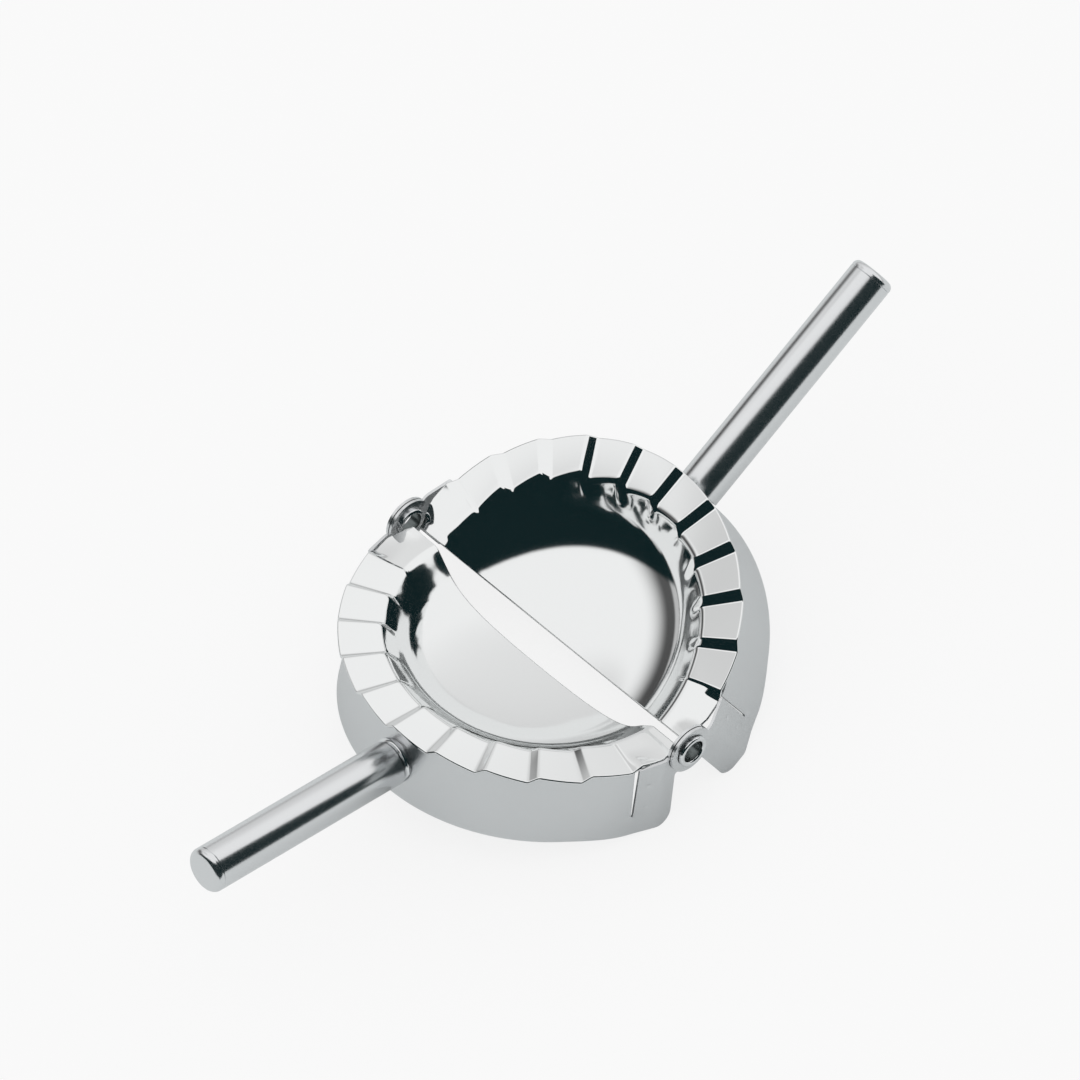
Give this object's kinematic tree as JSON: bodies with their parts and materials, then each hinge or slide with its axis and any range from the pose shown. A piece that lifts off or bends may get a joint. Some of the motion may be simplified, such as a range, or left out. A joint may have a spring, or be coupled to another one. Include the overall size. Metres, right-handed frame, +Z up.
{
  "type": "ravioli mould",
  "caption": "Folding stainless steel ravioli mould: two hinged half cups with pleated rims, curved cutter skirts and tubular handles, resting half open.",
  "frame": {"origin": "middle of the bounding box footprint, on the table under the resting mould", "axes": "+X along the handles towards half b, +Y along the hinge axis, +Z up"},
  "size_m": [0.2178, 0.1004, 0.0526],
  "materials": {
    "steel_mirror": "mirror-polished stainless sheet",
    "steel_satin": "satin-brushed stainless steel",
    "steel_polished": "polished stainless steel"
  },
  "bodies": {
    "half_a": {"cup_a": "steel_mirror", "skirt_a": "steel_satin", "rivet_front": "steel_polished", "rivet_back": "steel_polished", "handle_neck_a": "steel_polished", "handle_tube_a": "steel_satin", "handle_cap_a": "steel_polished"},
    "half_b": {"cup_b": "steel_mirror", "skirt_b": "steel_satin", "handle_neck_b": "steel_polished", "handle_tube_b": "steel_satin", "handle_cap_b": "steel_polished"}
  },
  "joints": [
    {"name": "fold", "type": "hinge", "parent": "half_a", "child": "half_b", "pos_m": [-0.00352, 0, 0.01863], "axis": [0, -1, 0], "range_deg": [-37.1, 142.9]}
  ]
}
